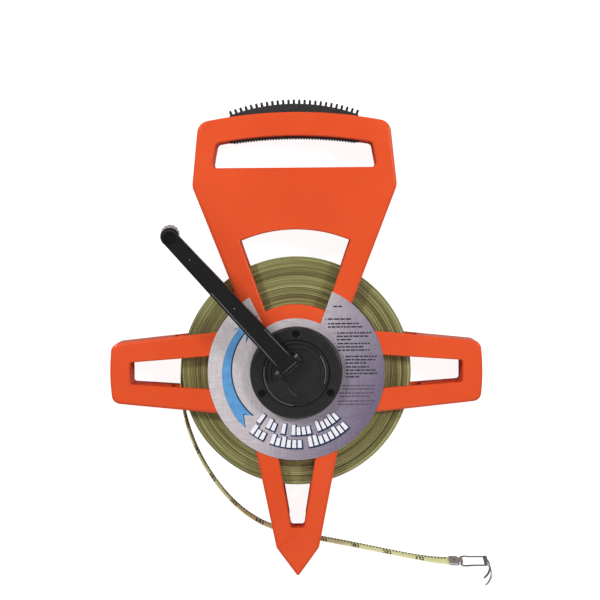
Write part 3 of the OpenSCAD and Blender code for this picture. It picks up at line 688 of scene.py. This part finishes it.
def stroke(x0, y0, x1, y1, width):
    """Outline of a straight pen stroke."""
    run = Vector((x1 - x0, y1 - y0))
    run.normalize()
    side = Vector((-run.y, run.x)) * width / 2
    run *= width / 2
    a, b = Vector((x0, y0)) - run, Vector((x1, y1)) + run
    return [tuple(p) for p in (a - side, b - side, b + side, a + side)]


def print_on_tape(ribbon, name, marks, paint, rest):
    """Ink marks: outlines of (distance from the hook end, height) in millimetres."""
    verts, faces = [], []
    for outline in marks:
        start = len(verts)
        n = len(outline)
        for lift in (TAPE_T / 2 - 0.02, TAPE_T / 2 + 0.03):
            verts += [ribbon.at(ribbon.length - x * MM, y * MM, lift * MM) for x, y in outline]
        faces += prism_faces(start, n)
    piece = new_piece(name, verts, faces, paint, smooth=False)
    close_normals(piece)
    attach(piece, "reel")
    rest.append(piece)


def figure_strokes(figure, left, low, wide, tall, pen):
    """Outlines of a figure's strokes; places are measured from the hook end, so they run back."""
    return [stroke(left - x0 * wide, low + y0 * tall, left - x1 * wide, low + y1 * tall, pen)
            for x0, y0, x1, y1 in DIGITS[figure]]


def tape_marks(ribbon, rest):
    """Ticks a hundredth of a foot apart along the lower edge, with a figure at each tenth."""
    hundredth, under_clip, reel_margin = 3.048, 6.0, 8.0
    tick_half_w, tick_low = 0.6, 0.15
    tall_tick, middle_tick, short_tick = 5.4, 4.8, 4.2
    wide, tall, figure_low, figure_step, pen = 1.35, 1.55, 5.9, 3.2, 1.25
    dark, red = [], []
    count = int((ribbon.length / MM - reel_margin) / hundredth)
    for k in range(1, count):
        x = k * hundredth
        if x < under_clip:
            continue
        tick_high = tall_tick if k % 10 == 0 else middle_tick if k % 5 == 0 else short_tick
        left, right = x - tick_half_w, x + tick_half_w
        dark.append([(left, tick_low), (right, tick_low), (right, tick_high), (left, tick_high)])
        if k % 10 == 0:
            for place, figure in enumerate(f"{k // 10}0"):
                start = x + (2.7 - figure_step * place) * wide
                strokes = figure_strokes(figure, start, figure_low, wide, tall, pen)
                (red if k % 50 == 0 else dark).extend(strokes)
    print_on_tape(ribbon, "tape_marks", dark, "tape_ink", rest)
    if red:
        print_on_tape(ribbon, "tape_foot_marks", red, "tape_red", rest)


def tube(name, path, radius, paint, sides=14, closed=True):
    """Round wire along a smooth closed or open run of points."""
    verts, faces, n = [], [], len(path)
    side = None
    for i, point in enumerate(path):
        ahead = path[(i + 1) % n if closed else min(i + 1, n - 1)]
        behind = path[(i - 1) % n if closed else max(i - 1, 0)]
        run = (ahead - behind).normalized()
        side = (side - run * side.dot(run)).normalized() if side else run.orthogonal().normalized()
        other = run.cross(side)
        for k in range(sides):
            a = math.tau * k / sides
            verts.append(point + (side * math.cos(a) + other * math.sin(a)) * radius)
    for i in range(n if closed else n - 1):
        for k in range(sides):
            a, b = i * sides + k, i * sides + (k + 1) % sides
            c, d = (a + sides) % (n * sides), (b + sides) % (n * sides)
            faces.append((a, b, d, c))
    if not closed:
        faces += [list(range(sides)), list(range((n - 1) * sides, n * sides))]
    piece = new_piece(name, verts, faces, paint)
    close_normals(piece)
    return piece


def rounded_loop(corners, radius, steps=6):
    """Closed run of points through corners, with each corner rounded off."""
    out, n = [], len(corners)
    for i, corner in enumerate(corners):
        before, after = corners[i - 1] - corner, corners[(i + 1) % n] - corner
        cut = min(radius, before.length * 0.45, after.length * 0.45)
        a, b = corner + before.normalized() * cut, corner + after.normalized() * cut
        for k in range(steps + 1):
            t = k / steps
            out.append(a * (1 - t) ** 2 + corner * 2 * t * (1 - t) + b * t * t)
    return out


def make_bail():
    """Bent wire loop in the hook's own frame: X along it, Z along the tape's width."""
    lean, place = math.radians(16), mm(151.1, -179.5, 13)
    turn = Matrix.Rotation(lean, 3, "X")
    half, belly, reach = 7.7, 8.7, 23.0
    shape = [(0, 0, -half), (0, 0, half), (3.5, 0, belly), (8.5, 0, half), (reach, 0, half),
             (reach, 0, -half), (8.5, 0, -half), (3.5, 0, -belly)]
    corners = [place + turn @ mm(*p) for p in shape]
    wire = tube("bail_wire", rounded_loop(corners, 1.6 * MM), 0.75 * MM, "steel")
    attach(wire, "bail")
    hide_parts("hook_bail")
    return wire


def make_free_tape():
    ribbon = Ribbon()
    tape = make_tape(ribbon)
    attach(tape, "reel")
    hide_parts("tape_tail")
    rest = []
    tape_marks(ribbon, rest)
    clip = refine("tail_clip", "bright_steel", 0.18)
    rivet = refine("clip_rivet", "brass", 0.2)
    claw = refine("claw_hook", "steel", 0.2)
    bail = make_bail()


# ---------------------------------------------------------------- crank details

ARM_LIFT = math.radians(8)  # the stowed arm's rise towards the knob
ARM_TOP = 5.0  # half the arm's thickness, in millimetres
ARM_ROOT_HALF = 9.0  # half its width at the hinge
ARM_TAPER = 0.015  # half width lost for each millimetre along it
BEAD_LEVEL = ARM_TOP - 0.2  # height of the beads' centre lines, sunk so that the folded arm clears the disc
DIMPLES_FROM_KNOB = (25, 83.5)


def arm_frame():
    """The hinge's centre and the arm's own axes, with X along it and Z out of its face."""
    hinge = sum(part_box("hinge_pin"), Vector()) / 2
    knob = sum(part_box("knob_axle"), Vector()) / 2
    level = Vector((knob.x - hinge.x, knob.y - hinge.y, 0)).normalized()
    along = level * math.cos(ARM_LIFT) + AXIS_Z * math.sin(ARM_LIFT)
    across = AXIS_Z.cross(level)
    return hinge, along, across, along.cross(across)


def bead(name, path, radius, paint, body):
    """Thin raised line that stands out of a surface along a run of points; here each one is in pale paint,
    as a painted highlight line or spot.
    """
    piece = tube(name, path, radius * MM, paint, sides=10, closed=False)
    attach(piece, body)


def make_arm_beads():
    """Thin raised lines by the arm's recess and across its hinge end, in pale paint as painted highlight
    lines, and a pale spot in each dimple as a painted glint.
    """
    hinge, along, across, out = arm_frame()

    def on_arm(x, y, z):
        return hinge + (along * x + across * y + out * z) * MM

    from_edge, steps = 1.7, 8
    # The pale paint of these lines stands for highlights where the arm's edges catch the light.
    for name, side, start, end in (("arm_highlight_line_left", 1, 8, 96), ("arm_highlight_line_right", -1, 8, 40)):
        places = [start + (end - start) * i / steps for i in range(steps + 1)]
        path = [on_arm(x, side * (ARM_ROOT_HALF - from_edge - ARM_TAPER * x), BEAD_LEVEL) for x in places]
        bead(name, path, 0.38, "highlight_black", "crank_arm")
    reach, inner_x, outer_x = ARM_ROOT_HALF - 0.6, -0.8, -4.0
    ends = [(inner_x, -reach), (inner_x, reach), (outer_x, reach), (outer_x, -reach)]
    path = [on_arm(x, y, math.sqrt(BEAD_LEVEL ** 2 - x ** 2)) for x, y in ends]
    bead("arm_end_highlight_line", path, 0.34, "highlight_black", "crank_arm")
    knob = sum(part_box("knob_axle"), Vector()) / 2
    arm_l = (knob - hinge).dot(along) / MM
    # A pale spot on each dimple's floor: a painted glint where the dimple's wall catches the light.
    for number, from_knob in enumerate(DIMPLES_FROM_KNOB):
        glint_spot = [on_arm(arm_l - from_knob, y, ARM_TOP - 1.1) for y in (-0.2, 0.2, 0.6)]
        bead(f"arm_dimple_glint_{number + 1}", glint_spot, 0.42, "nylon", "crank_arm")


def make_disc_beads(face, floor):
    """Thin raised arcs on the crank disc's rim and a thin line on its floor, all in pale paint: painted
    highlights where the rim's outer edge at the left and its inner edge at the right catch the light, and a
    painted highlight line across the floor.
    """
    steps = 32
    # Arcs only on the sides that face the light: the left one on the rim's outer edge, the right one on its
    # inner edge.
    for name, radius, start, end in (("disc_highlight_arc_left", 28.9, 168, 264),
                                     ("disc_highlight_arc_right", 26.6, -20, 36)):
        arc = [mm(*polar(radius, start + (end - start) * i / steps), face) for i in range(steps + 1)]
        bead(name, arc, 0.42, "highlight_black", "crank")
    line = [mm(-8 + 1.2 * i, -13 - 1.2 * i, floor) for i in range(8)]
    bead("disc_highlight_line", line, 0.2, "highlight_black", "crank")


# ---------------------------------------------------------------- the reel

def make_reel():
    for half in ("front_frame", "back_frame"):
        refine(half, "orange", 0.7)
    refine("handle_grip", "rubber", 0.3)
    refine("gear_cover", "cover_black", 0.35)
    refine("crank_disc", "cover_black", 0.3)
    refine("crank_arm", "arm_black", 0.35)
    refine("knob_collar", "black", 0.25)
    refine("crank_knob", "knob", 0.3)
    refine("knob_axle", "dark_steel", 0.3)
    refine("hinge_pin", "cover_black", 0.3)
    refine("cover_screws", "dark_steel", 0.15)
    refine("frame_screws", "steel", 0.15)
    refine("drum", "black", 0.3)
    for node, paint in (("ring_gear", "nylon"), ("sun_gear", "nylon"), ("planet_gear_1", "nylon"),
                        ("planet_gear_2", "nylon"), ("planet_gear_3", "nylon"), ("planet_pins", "steel"),
                        ("front_bush", "brass"), ("spindle", "steel"), ("thrust_washer", "steel"),
                        ("spindle_clip", "steel"), ("tape_clamp", "steel")):
        paint_node(node, paint)


# ---------------------------------------------------------------- stage

def make_stage():
    """Pale floor under the reel and soft studio light."""
    size, drop = 6.0, 0.0005
    rim = [(-size, -size, -drop), (size, -size, -drop), (size, size, -drop), (-size, size, -drop)]
    floor = new_piece("floor", rim, [(0, 1, 2, 3)], "floor", smooth=False)
    world = bpy.data.worlds.new("studio")
    world.use_nodes = True
    world.node_tree.nodes["Background"].inputs["Color"].default_value = (1, 1, 1, 1)
    world.node_tree.nodes["Background"].inputs["Strength"].default_value = 0.3
    bpy.context.scene.world = world
    middle = mm(0, 40, 20)
    for name, place, side, power in (
            ("key_light", (-1.1, 1.0, 1.1), 0.3, 18), ("fill_light", (1.2, 0.5, 1.0), 0.3, 11),
            ("front_light", (0.1, -1.3, 1.0), 0.6, 5)):
        data = bpy.data.lights.new(name, "AREA")
        data.shape = "SQUARE"
        data.size = side
        data.energy = power
        lamp = bpy.data.objects.new(name, data)
        bpy.context.scene.collection.objects.link(lamp)
        lamp.location = place
        lamp.rotation_mode = "QUATERNION"
        lamp.rotation_quaternion = (Vector(place) - middle).to_track_quat("Z", "Y")
    bpy.context.scene.view_settings.view_transform = "Standard"


make_camera()
make_free_tape()
make_reel()
make_arm_beads()
make_disc_beads(face=44.3, floor=42.95)
make_label()
make_pack()
make_stage()
